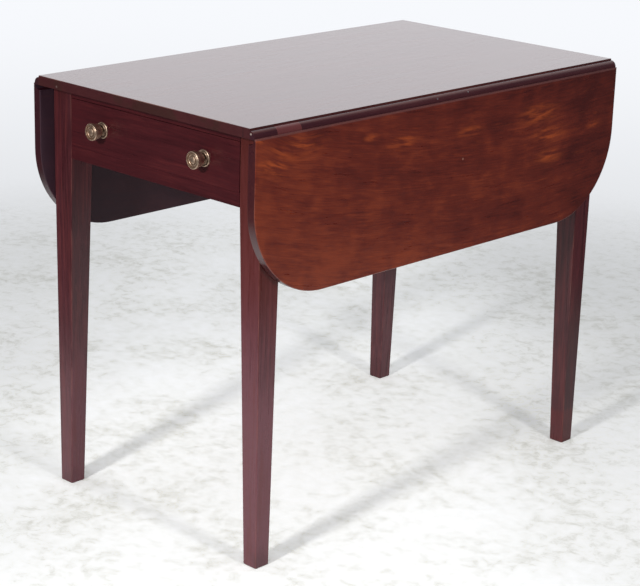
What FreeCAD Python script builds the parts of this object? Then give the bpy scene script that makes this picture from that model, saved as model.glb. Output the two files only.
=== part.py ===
import FreeCAD, Part
import math
import os

Vector = FreeCAD.Vector

# Pembroke table. Millimetres, +Z up, origin on the floor under the middle of the top.
# X runs across the table from leaf to leaf, and the drawer is in the -Y end.

# Top and leaves
table_height = 720.0
top_length = 890.0
top_flat_width = 496.0
board_thickness = 16.0
board_arris = 1.5
leaf_width = 260.0
leaf_corner_radius = 150.0

# Rule joint: the hinge pin is the centre of the ovolo and of the cove
joint_fillet = 3.0
pin_rise = 2.5
cove_gap = 0.35
lip_gap = 0.4

# Legs
leg_size = 44.5
foot_size = 28.5
foot_end_inset = 5.5
foot_chamfer = 1.5
leg_arris = 1.5
leg_leaf_gap = 1.0
end_overhang = 28.0

# Rails between the legs
apron_height = 118.0
end_rail_thickness = 20.0
end_rail_setback = 2.0
drawer_rail_depth = 45.0
lower_rail_height = 22.0
upper_rail_height = 16.0
side_tenon_length = 24.0
end_tenon_length = 26.0
rail_tenon_length = 20.0
tenon_shoulder = 6.0
tenon_top_shoulder = 20.0
tenon_thickness_share = 0.46
lower_tenon_height_share = 0.64
lower_tenon_width_share = 0.26
dovetail_length = 20.0
dovetail_height = 12.0
dovetail_neck_share = 0.46
dovetail_flare_share = 0.58
mortise_spare = 1.0

# Fly brackets, hinged on wooden knuckles outside the side rails
fly_recess = 8.5
fly_thickness = 18.0
fly_back_gap = 0.5
fly_pivot_y = 62.0
fly_reach = 200.0
fly_end_bevel = 12.0
fly_end_gap = 1.0
fly_top_gap = 0.6
fly_bottom_gap = 1.0
fly_ogee_run = 84.0
fly_ogee_rise = 46.0
knuckle_levels = 5
knuckle_gap = 0.4
fly_pin_radius = 2.5
pin_clearance = 0.05

# Drawer
drawer_length = 560.0
drawer_front_thickness = 20.0
drawer_side_thickness = 9.0
drawer_back_thickness = 9.0
drawer_side_height = 74.0
drawer_back_drop = 6.0
drawer_side_gap = 0.8
drawer_top_gap = 1.0
drawer_run_gap = 0.3
drawer_bottom_thickness = 7.0
drawer_bottom_rise = 6.5
drawer_groove_depth = 5.0
drawer_groove_slack = 0.2
front_tail_length = 14.0
front_tails = 3
back_tails = 2
tail_tip_share = 0.72
tail_neck_share = 0.54

# What carries and guides the drawer
runner_width = 20.0
runner_height = 18.0
runner_stub = 8.0
runner_stub_share = 0.6
stop_length = 32.0
stop_width = 14.0
stop_height = 4.5
stop_gap = 0.4
stop_place_share = 0.55

# Turned knobs
knob_spacing = 241.0
knob_projection = 25.0
knob_head_radius = 14.0
knob_drum_radius = 12.0
knob_bell_radius = 4.2
knob_neck_radius = 7.0
knob_neck_height = 3.0
knob_rim_height = 4.0
knob_rim_round = 1.4
knob_rim_width = 2.2
knob_dish_depth = 2.2
knob_ring_radius = 8.8
knob_ring_half_width = 0.9
knob_boss_radius = 5.8
knob_boss_crown = 1.3
rose_radius = 13.5
rose_height = 4.4
rose_edge_shares = (1.0, 0.22)
rose_rim_shares = (0.97, 0.40, 0.88, 0.46)
rose_hollow_shares = (0.82, 0.34)
rose_slope_shares = (0.67, 0.40, 0.56, 0.78)
rose_crown_shares = (0.50, 0.95, 0.43, 1.0)
stud_radius = 2.4
stud_clearance = 0.15
stud_tail = 3.0
nut_size = 12.0
nut_thickness = 4.0

# Leaf hinges
hinge_length = 40.0
hinge_end_inset = 145.0
hinge_count = 3
hinge_knuckles = 5
hinge_knuckle_gap = 0.3
flap_thickness = 1.8
top_flap_width = 28.0
leaf_flap_width = 58.0
hinge_pin_radius = 1.2
flap_side_gap = 0.2
flap_swing_gap = 0.4
flap_pair_share = 0.56
top_pair_share = 0.6
leaf_pair_share = 0.46
leaf_far_share = 0.84

# Screws and glue blocks
flap_screw_head = 3.2
flap_screw_shank = 1.6
flap_screw_length = 12.0
wood_screw_head = 4.2
wood_screw_shank = 2.2
wood_screw_bite = 9.0
screw_clearance = 0.05
screw_point_share = 0.2
screw_slot_width = 0.9
screw_slot_depth_share = 0.5
rail_screw_height_shares = (0.25, 0.75)
block_screw_share = 0.5
kicker_screw_shares = (0.12, 0.37, 0.63, 0.88)
upper_rail_screw_share = 0.5
glue_block_length = 44.0
glue_block_size = 22.0
glue_block_cut_share = 0.35
glue_block_count = 3

# Every cut runs this far past the face that it opens
overrun = 2.0
tolerance = 1e-6

# Heights
under_top = table_height - board_thickness
apron_bottom = under_top - apron_height
lower_rail_top = apron_bottom + lower_rail_height
upper_rail_bottom = under_top - upper_rail_height

# Rule joint and hinge pin on the +X side
pin_x = top_flat_width / 2
pin_z = under_top + pin_rise
ovolo_radius = board_thickness - pin_rise - joint_fillet
cove_radius = ovolo_radius + cove_gap
half_length = top_length / 2

# Legs and rails on the +X and +Y sides
leg_outer_x = pin_x - pin_rise - leg_leaf_gap
leg_inner_x = leg_outer_x - leg_size
leg_outer_y = half_length - end_overhang
leg_inner_y = leg_outer_y - leg_size
fly_outer_x = leg_outer_x - fly_recess
fly_inner_x = fly_outer_x - fly_thickness
side_rail_outer_x = fly_inner_x - fly_back_gap
end_rail_outer_y = leg_outer_y - end_rail_setback
end_rail_inner_y = end_rail_outer_y - end_rail_thickness
drawer_face_y = -leg_outer_y
drawer_rail_back_y = drawer_face_y + drawer_rail_depth

SIDES = (("left", -1), ("right", 1))
ENDS = (("front", -1), ("back", 1))


# Shaping helpers

def block(x, y, z):
    """A box between two x, two y and two z places, each pair in any order."""
    low = Vector(min(x), min(y), min(z))
    size = Vector(max(x), max(y), max(z)) - low
    return Part.makeBox(size.x, size.y, size.z, low)


def closed_wire(start, *steps):
    """A closed wire: a point is a straight run, a pair is an arc's middle and end."""
    edges = []
    here = start
    for step in steps + (start,):
        if isinstance(step, tuple):
            middle, end = step
            edges.append(Part.Arc(here, middle, end).toShape())
        else:
            end = step
            if here.distanceToPoint(end) > tolerance:
                edges.append(Part.LineSegment(here, end).toShape())
        here = end
    return Part.Wire(edges)


def prism(wire, direction):
    """The solid that a flat closed wire sweeps along a direction."""
    return Part.Face(wire).extrude(direction)


def rounded_section(x, y, z, radius):
    """A level rectangle with rounded corners, as a wire."""
    middle = math.sqrt(2) / 2
    low_x, high_x = sorted(x)
    low_y, high_y = sorted(y)
    corners = ((1, 1), (-1, 1), (-1, -1), (1, -1))
    steps = []
    for index, (sx, sy) in enumerate(corners):
        centre_x = high_x - radius if sx > 0 else low_x + radius
        centre_y = high_y - radius if sy > 0 else low_y + radius
        along_x = Vector(centre_x + sx * radius, centre_y, z)
        along_y = Vector(centre_x, centre_y + sy * radius, z)
        halfway = Vector(centre_x + sx * radius * middle, centre_y + sy * radius * middle, z)
        first, last = (along_x, along_y) if index % 2 == 0 else (along_y, along_x)
        steps.append(first)
        steps.append((halfway, last))
    return closed_wire(steps[0], *steps[1:])


def mirrored_x(shape):
    return shape.mirror(Vector(0, 0, 0), Vector(1, 0, 0))


def mirrored_y(shape):
    return shape.mirror(Vector(0, 0, 0), Vector(0, 1, 0))


def on_side(shape, side):
    """A piece made for the +X side, put on the side asked for."""
    return shape if side > 0 else mirrored_x(shape)


def hung(shape):
    """A piece made on a raised +X leaf, swung down about the hinge pin."""
    turned_shape = shape.copy()
    turned_shape.rotate(Vector(pin_x, 0, pin_z), Vector(0, 1, 0), 90)
    return turned_shape


def save(name, shape):
    """Write one piece, or one group of like pieces, under its name."""
    solids = shape if isinstance(shape, list) else [shape]
    whole = solids[0] if len(solids) == 1 else Part.makeCompound(solids)
    whole.exportStep("parts/" + name + ".step")
    print(name, len(whole.Solids), round(whole.Volume), whole.isValid())


def screw(point, direction, head, shank, length):
    """A slotted countersunk screw with its head at point, driven along direction."""
    head_depth = head - shank
    point_length = length * screw_point_share
    body_length = length - head_depth - point_length
    up = Vector(0, 0, 1)
    shape = Part.makeCone(head, shank, head_depth)
    shape = shape.fuse(Part.makeCylinder(shank, body_length, up * head_depth))
    shape = shape.fuse(Part.makeCone(shank, 0, point_length, up * (head_depth + body_length)))
    half_slot = screw_slot_width / 2
    slot_depth = head_depth * screw_slot_depth_share
    slot = block((-head, head), (-half_slot, half_slot), (-overrun, slot_depth))
    shape = shape.cut(slot)
    shape.Placement = FreeCAD.Placement(point, FreeCAD.Rotation(up, direction))
    return shape


def screw_hole(point, direction, head, shank, length):
    """The countersunk hole that the screw of the same sizes fits."""
    wide = head + screw_clearance
    narrow = shank + screw_clearance
    hole = Part.makeCone(wide, narrow, wide - narrow, point, direction)
    return hole.fuse(Part.makeCylinder(narrow, length + screw_clearance, point, direction))


# Top and leaves

def hinge_places():
    """Places of the hinges along the leaf: one near each end, the rest evenly between."""
    first = hinge_end_inset - half_length
    pitch = -2 * first / (hinge_count - 1)
    return [first + pitch * index for index in range(hinge_count)]


def top_board_blank():
    """The fixed top: flat between two fillets, with an ovolo below each fillet."""
    diagonal = ovolo_radius * math.sqrt(2) / 2
    fillet_foot = Vector(pin_x, -half_length, pin_z + ovolo_radius)
    ovolo_middle = Vector(pin_x + diagonal, -half_length, pin_z + diagonal)
    ovolo_foot = Vector(pin_x + ovolo_radius, -half_length, pin_z)
    edge_foot = Vector(pin_x + ovolo_radius, -half_length, under_top)
    flip = lambda point: Vector(-point.x, point.y, point.z)
    wire = closed_wire(
        Vector(-pin_x, -half_length, table_height),
        Vector(pin_x, -half_length, table_height),
        fillet_foot,
        (ovolo_middle, ovolo_foot),
        edge_foot,
        flip(edge_foot),
        flip(ovolo_foot),
        (flip(ovolo_middle), flip(fillet_foot)),
    )
    board = prism(wire, Vector(0, top_length, 0))
    ends = []
    for edge in board.Edges:
        box = edge.BoundBox
        level = box.ZLength < tolerance and box.YLength < tolerance
        if level and abs(box.ZMin - table_height) < tolerance:
            ends.append(edge)
    return board.makeFillet(board_arris, ends)


def leaf_blank():
    """A raised +X leaf: lip, cove, straight ends and rounded outer corners."""
    outer_x = pin_x + leaf_width
    lip_x = pin_x + lip_gap
    cove_top = pin_z + math.sqrt(cove_radius ** 2 - lip_gap ** 2)
    diagonal = cove_radius * math.sqrt(2) / 2
    section = closed_wire(
        Vector(lip_x, -half_length, table_height),
        Vector(outer_x, -half_length, table_height),
        Vector(outer_x, -half_length, under_top),
        Vector(pin_x + cove_radius, -half_length, under_top),
        Vector(pin_x + cove_radius, -half_length, pin_z),
        (Vector(pin_x + diagonal, -half_length, pin_z + diagonal), Vector(lip_x, -half_length, cove_top)),
    )
    straight = half_length - leaf_corner_radius
    inner_bend_x = outer_x - leaf_corner_radius
    bend = leaf_corner_radius * math.sqrt(2) / 2
    start_z = under_top - overrun
    outline = closed_wire(
        Vector(pin_x, -half_length, start_z),
        Vector(inner_bend_x, -half_length, start_z),
        (Vector(inner_bend_x + bend, -straight - bend, start_z), Vector(outer_x, -straight, start_z)),
        Vector(outer_x, straight, start_z),
        (Vector(inner_bend_x + bend, straight + bend, start_z), Vector(inner_bend_x, half_length, start_z)),
        Vector(pin_x, half_length, start_z),
    )
    leaf = prism(section, Vector(0, top_length, 0))
    leaf = leaf.common(prism(outline, Vector(0, 0, board_thickness + 2 * overrun)))
    rounded = []
    for edge in leaf.Edges:
        box = edge.BoundBox
        on_face = box.ZLength < tolerance and abs(box.ZMin - table_height) < tolerance
        on_back = box.ZLength < tolerance and abs(box.ZMin - under_top) < tolerance
        if (on_face or on_back) and box.XMax > pin_x + cove_radius + tolerance:
            rounded.append(edge)
    return leaf.makeFillet(board_arris, rounded)


# Leaf hinges, made with the leaf raised: both flaps flush under the boards

def knuckle_spans(place, moving):
    """The stretches of the hinge's length that one flap's knuckles take."""
    pitch = hinge_length / hinge_knuckles
    low = place - hinge_length / 2
    spans = []
    for index in range(hinge_knuckles):
        if (index % 2 == 1) == moving:
            start = low + index * pitch + hinge_knuckle_gap / 2
            spans.append((start, start + pitch - hinge_knuckle_gap))
    return spans


def hinge_rod(radius, span):
    """A round bar on the hinge pin's line, over a stretch of it."""
    return Part.makeCylinder(radius, span[1] - span[0], Vector(pin_x, span[0], pin_z), Vector(0, 1, 0))


def flap_screw_points(place, moving):
    """Screw places of a flap: a pair near the knuckle, and a third on the long flap."""
    half_pair = hinge_length * flap_pair_share / 2
    if moving:
        pair_x = pin_x + leaf_flap_width * leaf_pair_share
        far_x = pin_x + leaf_flap_width * leaf_far_share
        points = [(pair_x, place - half_pair), (pair_x, place + half_pair), (far_x, place)]
    else:
        pair_x = pin_x - top_flap_width * top_pair_share
        points = [(pair_x, place - half_pair), (pair_x, place + half_pair)]
    return [Vector(x, y, under_top) for x, y in points]


def hinge_flap(place, moving):
    """One flap with its knuckles: the short one under the top, or the long one on the leaf."""
    side = 1 if moving else -1
    width = leaf_flap_width if moving else top_flap_width
    knuckle_edge = pin_x + side * (pin_rise + hinge_knuckle_gap)
    across = (place - hinge_length / 2, place + hinge_length / 2)
    thick = (under_top, under_top + flap_thickness)
    flap = block((knuckle_edge, pin_x + side * width), across, thick)
    for span in knuckle_spans(place, moving):
        flap = flap.fuse(block((pin_x, knuckle_edge), span, thick))
        flap = flap.fuse(hinge_rod(pin_rise, span))
    flap = flap.cut(hinge_rod(hinge_pin_radius + pin_clearance, across))
    for point in flap_screw_points(place, moving):
        flap = flap.cut(screw_hole(point, Vector(0, 0, 1), *flap_screw_sizes))
    return flap.removeSplitter()


def hinge_beds_in_top(place):
    """What is cut from the top for one hinge: flap bed, knuckle slot and the swing of the long flap."""
    half = hinge_length / 2 + flap_side_gap
    across = (place - half, place + half)
    low = under_top - overrun
    slot_radius = pin_rise + flap_swing_gap
    bed_start = pin_x - top_flap_width - flap_side_gap
    bed = block((bed_start, pin_x), across, (low, under_top + flap_thickness))
    slot = block((pin_x - slot_radius, pin_x + slot_radius), across, (low, pin_z))
    slot = slot.fuse(hinge_rod(slot_radius, across))
    swing_top = under_top + flap_thickness + flap_swing_gap
    swing = block((pin_x, pin_x + ovolo_radius + overrun), across, (low, swing_top))
    beds = bed.fuse(slot).fuse(swing)
    for point in flap_screw_points(place, False):
        beds = beds.fuse(screw_hole(point, Vector(0, 0, 1), *flap_screw_sizes))
    return beds


def hinge_bed_in_leaf(place):
    """What is cut from a raised leaf for one long flap and its screws."""
    half = hinge_length / 2 + flap_side_gap
    across = (place - half, place + half)
    bed_end = pin_x + leaf_flap_width + flap_side_gap
    bed_top = under_top + flap_thickness
    bed = block((pin_x, bed_end), across, (under_top - overrun, bed_top))
    for point in flap_screw_points(place, True):
        bed = bed.fuse(screw_hole(point, Vector(0, 0, 1), *flap_screw_sizes))
    return bed


flap_screw_sizes = (flap_screw_head, flap_screw_shank, flap_screw_length)


def leaf_piece():
    leaf = leaf_blank()
    for place in hinge_places():
        leaf = leaf.cut(hinge_bed_in_leaf(place))
    return hung(leaf)


# Legs and rails

def leg_blank(sx, sy):
    """A square leg with eased arrises, tapering below the apron, mostly on its inner faces."""
    foot_outer_y = leg_outer_y - foot_end_inset
    inset = foot_chamfer
    levels = (
        (0, leg_outer_x - inset, foot_outer_y - inset, foot_size - 2 * inset),
        (foot_chamfer, leg_outer_x, foot_outer_y, foot_size),
        (apron_bottom, leg_outer_x, leg_outer_y, leg_size),
        (under_top, leg_outer_x, leg_outer_y, leg_size),
    )
    sections = []
    for z, outer_x, outer_y, size in levels:
        across = (sx * outer_x, sx * (outer_x - size))
        along = (sy * outer_y, sy * (outer_y - size))
        sections.append(rounded_section(across, along, z, leg_arris))
    return Part.makeLoft(sections, True, True)


side_rail_thickness = side_rail_outer_x - leg_inner_x
tenon_low = apron_bottom + tenon_shoulder
tenon_high = under_top - tenon_top_shoulder
side_tenon_half = side_rail_thickness * tenon_thickness_share / 2
side_tenon_x = (leg_inner_x + side_rail_outer_x) / 2
end_tenon_half = end_rail_thickness * tenon_thickness_share / 2
end_tenon_y = (end_rail_inner_y + end_rail_outer_y) / 2


def side_tenon(sy, spare=0):
    """The tenon of the +X side rail into a leg, or with spare depth its mortise."""
    across = (side_tenon_x - side_tenon_half, side_tenon_x + side_tenon_half)
    along = (sy * leg_inner_y, sy * (leg_inner_y + side_tenon_length + spare))
    return block(across, along, (tenon_low, tenon_high))


def end_tenon(spare=0):
    """The tenon of the far end rail into the +X leg, or its mortise."""
    across = (leg_inner_x, leg_inner_x + end_tenon_length + spare)
    along = (end_tenon_y - end_tenon_half, end_tenon_y + end_tenon_half)
    return block(across, along, (tenon_low, tenon_high))


def lower_rail_tenon(spare=0):
    """The tenon of the lower drawer rail into the +X leg, or its mortise."""
    half_height = lower_rail_height * lower_tenon_height_share / 2
    middle = (apron_bottom + lower_rail_top) / 2
    width = drawer_rail_depth * lower_tenon_width_share
    front = drawer_face_y + tenon_shoulder
    across = (leg_inner_x, leg_inner_x + rail_tenon_length + spare)
    return block(across, (front, front + width), (middle - half_height, middle + half_height))


def upper_rail_dovetail():
    """The dovetail of the upper drawer rail, let into the top of the +X leg."""
    middle = (drawer_face_y - leg_inner_y) / 2
    neck = leg_size * dovetail_neck_share / 2
    flare = leg_size * dovetail_flare_share / 2
    low = under_top - dovetail_height
    far = leg_inner_x + dovetail_length
    wire = closed_wire(
        Vector(leg_inner_x, middle - neck, low),
        Vector(far, middle - flare, low),
        Vector(far, middle + flare, low),
        Vector(leg_inner_x, middle + neck, low),
    )
    return prism(wire, Vector(0, 0, dovetail_height))


def leg_piece(side, end):
    """A leg with the mortises that its rails need."""
    leg = leg_blank(side, end)
    cuts = [on_side(side_tenon(end, mortise_spare), side)]
    if end > 0:
        cuts.append(on_side(end_tenon(mortise_spare), side))
    else:
        cuts.append(on_side(lower_rail_tenon(mortise_spare), side))
        cuts.append(on_side(upper_rail_dovetail(), side))
    for cut in cuts:
        leg = leg.cut(cut)
    return leg


def side_rail_screw_points():
    """Screws from inside the +X side rail into the fly blocks: a column of two at each place."""
    column_z = [apron_bottom + apron_height * share for share in rail_screw_height_shares]
    places = [sign * fly_pivot_y * block_screw_share for sign in (-1, 1)]
    end_middle = (fly_end_block_start + leg_inner_y) / 2
    places += [sign * end_middle for sign in (-1, 1)]
    return [Vector(leg_inner_x, y, z) for y in places for z in column_z]


fly_end_block_start = fly_pivot_y + fly_reach + fly_end_bevel + fly_end_gap
rail_screw_length = side_rail_thickness + wood_screw_bite
rail_screw_sizes = (wood_screw_head, wood_screw_shank, rail_screw_length)


def side_rail_piece():
    """The +X side rail: a board between the legs, with a tenon at each end."""
    across = (leg_inner_x, side_rail_outer_x)
    rail = block(across, (-leg_inner_y, leg_inner_y), (apron_bottom, under_top))
    for end in (-1, 1):
        rail = rail.fuse(side_tenon(end))
    for point in side_rail_screw_points():
        rail = rail.cut(screw_hole(point, Vector(1, 0, 0), *rail_screw_sizes))
    return rail.removeSplitter()


def end_rail_piece():
    """The far end rail, tenoned into both back legs."""
    along = (end_rail_inner_y, end_rail_outer_y)
    rail = block((-leg_inner_x, leg_inner_x), along, (apron_bottom, under_top))
    rail = rail.fuse(end_tenon())
    return rail.fuse(mirrored_x(end_tenon())).removeSplitter()


def lower_rail_piece():
    """The rail under the drawer, tenoned into the legs, with mortises for the runners."""
    along = (drawer_face_y, drawer_rail_back_y)
    rail = block((-leg_inner_x, leg_inner_x), along, (apron_bottom, lower_rail_top))
    for side in (-1, 1):
        rail = rail.fuse(on_side(lower_rail_tenon(), side))
        rail = rail.cut(on_side(runner_stub_tenon(), side))
    return rail.removeSplitter()


def upper_rail_piece():
    """The thin rail over the drawer, dovetailed into the leg tops and screwed up to the top."""
    along = (drawer_face_y, drawer_rail_back_y)
    rail = block((-leg_inner_x, leg_inner_x), along, (upper_rail_bottom, under_top))
    for side in (-1, 1):
        rail = rail.fuse(on_side(upper_rail_dovetail(), side))
    for point in upper_rail_screw_points():
        rail = rail.cut(screw_hole(point, Vector(0, 0, 1), *top_screw_sizes))
    return rail.removeSplitter()


# What carries and guides the drawer

def runner_stub_tenon():
    """The stub at the front of the +X runner, let into the lower rail."""
    middle_x = leg_inner_x - runner_width / 2
    half_width = runner_width * runner_stub_share / 2
    middle_z = lower_rail_top - runner_height / 2
    half_height = runner_height * runner_stub_share / 2
    across = (middle_x - half_width, middle_x + half_width)
    along = (drawer_rail_back_y - runner_stub, drawer_rail_back_y)
    return block(across, along, (middle_z - half_height, middle_z + half_height))


def runner_piece():
    """A strip on the inside of the +X side rail, under the drawer side."""
    along = (drawer_rail_back_y, end_rail_inner_y)
    across = (leg_inner_x - runner_width, leg_inner_x)
    runner = block(across, along, (lower_rail_top - runner_height, lower_rail_top))
    return runner.fuse(runner_stub_tenon()).removeSplitter()


def kicker_piece():
    """A strip over the +X drawer side, which also takes the screws into the top."""
    along = (drawer_rail_back_y, end_rail_inner_y)
    kicker = block((leg_inner_x - runner_width, leg_inner_x), along, (upper_rail_bottom, under_top))
    for point in kicker_screw_points():
        kicker = kicker.cut(screw_hole(point, Vector(0, 0, 1), *top_screw_sizes))
    return kicker


def kicker_screw_points():
    """Screw places along the +X kicker."""
    length = end_rail_inner_y - drawer_rail_back_y
    x = leg_inner_x - runner_width / 2
    places = [drawer_rail_back_y + length * share for share in kicker_screw_shares]
    return [Vector(x, y, upper_rail_bottom) for y in places]


def upper_rail_screw_points():
    """Screw places along the upper drawer rail."""
    y = (drawer_face_y + drawer_rail_back_y) / 2
    x = leg_inner_x * upper_rail_screw_share
    return [Vector(sign * x, y, upper_rail_bottom) for sign in (-1, 1)]


top_screw_sizes = (wood_screw_head, wood_screw_shank, upper_rail_height + wood_screw_bite)


def top_screw_points():
    """Every screw that holds the top down, on both sides."""
    points = upper_rail_screw_points()
    for point in kicker_screw_points():
        points.append(point)
        points.append(Vector(-point.x, point.y, point.z))
    return points


def drawer_stop_pieces():
    """Two blocks on the lower rail, which the closed drawer front meets from outside."""
    stops = []
    front = drawer_face_y + drawer_front_thickness + stop_gap
    for sign in (-1, 1):
        middle = sign * leg_inner_x * stop_place_share
        across = (middle - stop_length / 2, middle + stop_length / 2)
        along = (front, front + stop_width)
        stops.append(block(across, along, (lower_rail_top, lower_rail_top + stop_height)))
    return stops


def glue_block_pieces():
    """Chamfered blocks in the corner between the far end rail and the top."""
    y = end_rail_inner_y
    z = under_top
    size = glue_block_size
    cut = size * glue_block_cut_share
    pitch = 2 * leg_inner_x / (glue_block_count + 1)
    blocks = []
    for index in range(glue_block_count):
        x = -leg_inner_x + pitch * (index + 1) - glue_block_length / 2
        wire = closed_wire(
            Vector(x, y, z),
            Vector(x, y - size, z),
            Vector(x, y - size, z - cut),
            Vector(x, y - cut, z - size),
            Vector(x, y, z - size),
        )
        blocks.append(prism(wire, Vector(glue_block_length, 0, 0)))
    return blocks


# Fly brackets, made about the pivot of the +X back bracket, which runs towards +Y

fly_low = apron_bottom + fly_bottom_gap
fly_high = under_top - fly_top_gap
fly_half = fly_thickness / 2
fly_pivot_x = fly_inner_x + fly_half
level_height = (fly_high - fly_low) / knuckle_levels


def knuckle_disc(level, radius, ease):
    """A round bar on the pivot, over one knuckle's height less a little at each end."""
    low = fly_low + level * level_height + ease
    return Part.makeCylinder(radius, level_height - 2 * ease, Vector(0, 0, low))


def knuckled(body, own_levels):
    """A rail end with round knuckles at its own levels and hollows at the other piece's."""
    hollow = fly_half + knuckle_gap
    for level in range(knuckle_levels):
        if level in own_levels:
            body = body.fuse(knuckle_disc(level, fly_half, knuckle_gap / 2))
        else:
            body = body.cut(knuckle_disc(level, hollow, -knuckle_gap / 2))
    bore_radius = fly_pin_radius + pin_clearance
    bore_length = fly_high - fly_low + 2 * overrun
    bore = Part.makeCylinder(bore_radius, bore_length, Vector(0, 0, fly_low - overrun))
    return body.cut(bore).removeSplitter()


def ogee_cut():
    """What the shaped lower corner of the free end loses: a reversed curve of two equal arcs."""
    tip_y = fly_reach + fly_end_bevel
    start_y = tip_y - fly_ogee_run
    turn = 2 * math.atan(fly_ogee_rise / fly_ogee_run)
    radius = (fly_ogee_run ** 2 + fly_ogee_rise ** 2) / (4 * fly_ogee_rise)
    step_y = radius * math.sin(turn / 2)
    step_z = radius * (1 - math.cos(turn / 2))
    x = -fly_half - overrun
    top_z = fly_low + fly_ogee_rise
    wire = closed_wire(
        Vector(x, start_y, fly_low),
        (
            Vector(x, start_y + step_y, fly_low + step_z),
            Vector(x, start_y + fly_ogee_run / 2, fly_low + fly_ogee_rise / 2),
        ),
        (Vector(x, tip_y - step_y, top_z - step_z), Vector(x, tip_y, top_z)),
        Vector(x, tip_y + overrun, top_z),
        Vector(x, tip_y + overrun, fly_low - overrun),
        Vector(x, start_y, fly_low - overrun),
    )
    return prism(wire, Vector(fly_thickness + 2 * overrun, 0, 0))


def fly_bracket_blank():
    """A bracket from its knuckles to its bevelled free end, shaped below."""
    ease = knuckle_gap
    wire = closed_wire(
        Vector(-fly_half, ease, fly_low),
        Vector(0, ease, fly_low),
        Vector(fly_half, fly_half + ease, fly_low),
        Vector(fly_half, fly_reach + fly_end_bevel, fly_low),
        Vector(-fly_half, fly_reach, fly_low),
    )
    body = prism(wire, Vector(0, 0, fly_high - fly_low))
    body = knuckled(body, moving_levels)
    return body.cut(ogee_cut())


def fly_centre_block_half():
    """The +Y half of a centre block: bevelled shoulder and knuckles, glued to the side rail."""
    ease = knuckle_gap
    wire = closed_wire(
        Vector(-fly_half - fly_back_gap, -ease, fly_low),
        Vector(0, -ease, fly_low),
        Vector(fly_half, -fly_half - ease, fly_low),
        Vector(fly_half, -fly_pivot_y, fly_low),
        Vector(-fly_half - fly_back_gap, -fly_pivot_y, fly_low),
    )
    return knuckled(prism(wire, Vector(0, 0, fly_high - fly_low)), fixed_levels)


def fly_end_block_blank():
    """The fixed block between a bracket's bevelled end and the leg."""
    slope = fly_end_bevel / fly_thickness
    inner_x = -fly_half - fly_back_gap
    end_y = leg_inner_y - fly_pivot_y
    wire = closed_wire(
        Vector(inner_x, fly_reach + fly_end_gap - fly_back_gap * slope, fly_low),
        Vector(fly_half, fly_reach + fly_end_bevel + fly_end_gap, fly_low),
        Vector(fly_half, end_y, fly_low),
        Vector(inner_x, end_y, fly_low),
    )
    return prism(wire, Vector(0, 0, fly_high - fly_low))


moving_levels = range(1, knuckle_levels, 2)
fixed_levels = range(0, knuckle_levels, 2)


def at_fly(shape, side, end):
    """A piece made about the pivot, put at one of the four pivots."""
    placed = shape.copy()
    placed.translate(Vector(fly_pivot_x, fly_pivot_y, 0))
    if end < 0:
        placed = mirrored_y(placed)
    return on_side(placed, side)


def without_rail_screws(shape):
    """A +X fly block with the pilot holes of the screws from the side rail."""
    for point in side_rail_screw_points():
        shape = shape.cut(screw_hole(point, Vector(1, 0, 0), *rail_screw_sizes))
    return shape


def fly_centre_block_piece():
    whole = at_fly(fly_centre_block_half(), 1, 1)
    whole = whole.fuse(mirrored_y(whole)).removeSplitter()
    return without_rail_screws(whole)


def fly_pin():
    """The iron pin through one bracket's knuckles."""
    return Part.makeCylinder(fly_pin_radius, fly_high - fly_low, Vector(0, 0, fly_low))


# Drawer

drawer_half_width = leg_inner_x - drawer_side_gap
drawer_side_inner_x = drawer_half_width - drawer_side_thickness
drawer_front_back_y = drawer_face_y + drawer_front_thickness
drawer_end_y = drawer_face_y + drawer_length
drawer_back_front_y = drawer_end_y - drawer_back_thickness
drawer_low = lower_rail_top + drawer_run_gap
drawer_front_high = upper_rail_bottom - drawer_top_gap
drawer_side_high = drawer_low + drawer_side_height
drawer_panel_low = drawer_low + drawer_bottom_rise
drawer_panel_high = drawer_panel_low + drawer_bottom_thickness
drawer_back_high = drawer_side_high - drawer_back_drop
knob_z = (drawer_low + drawer_front_high) / 2


def tails(base_y, tip_y, low, high, count):
    """Dovetails at one end of the +X drawer side, wider at their tips."""
    pitch = (high - low) / count
    neck = pitch * tail_neck_share / 2
    tip = pitch * tail_tip_share / 2
    pieces = []
    for index in range(count):
        middle = low + pitch * index + pitch / 2
        wire = closed_wire(
            Vector(drawer_side_inner_x, base_y, middle - neck),
            Vector(drawer_side_inner_x, tip_y, middle - tip),
            Vector(drawer_side_inner_x, tip_y, middle + tip),
            Vector(drawer_side_inner_x, base_y, middle + neck),
        )
        pieces.append(prism(wire, Vector(drawer_side_thickness, 0, 0)))
    return pieces


def front_tails_of_side():
    tip_y = drawer_front_back_y - front_tail_length
    return tails(drawer_front_back_y, tip_y, drawer_low, drawer_side_high, front_tails)


def back_tails_of_side():
    return tails(drawer_back_front_y, drawer_end_y, drawer_panel_high, drawer_back_high, back_tails)


def drawer_panel(slack=0):
    """The drawer bottom in its grooves, or with slack the grooves themselves."""
    half = drawer_side_inner_x + drawer_groove_depth + slack
    along = (drawer_front_back_y - drawer_groove_depth - slack, drawer_end_y + slack)
    return block((-half, half), along, (drawer_panel_low, drawer_panel_high + slack))


def drawer_back_piece():
    """The drawer back over the bottom, with sockets for the tails of both sides."""
    along = (drawer_back_front_y, drawer_end_y)
    back = block((-drawer_half_width, drawer_half_width), along, (drawer_panel_high, drawer_back_high))
    for tail in back_tails_of_side():
        back = back.cut(tail).cut(mirrored_x(tail))
    return back


def drawer_side_piece():
    """The +X drawer side: tails at both ends and a groove for the bottom."""
    across = (drawer_side_inner_x, drawer_half_width)
    side = block(across, (drawer_front_back_y, drawer_end_y), (drawer_low, drawer_side_high))
    side = side.cut(drawer_back_piece())
    for tail in front_tails_of_side():
        side = side.fuse(tail)
    return side.cut(drawer_panel(drawer_groove_slack)).removeSplitter()


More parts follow.
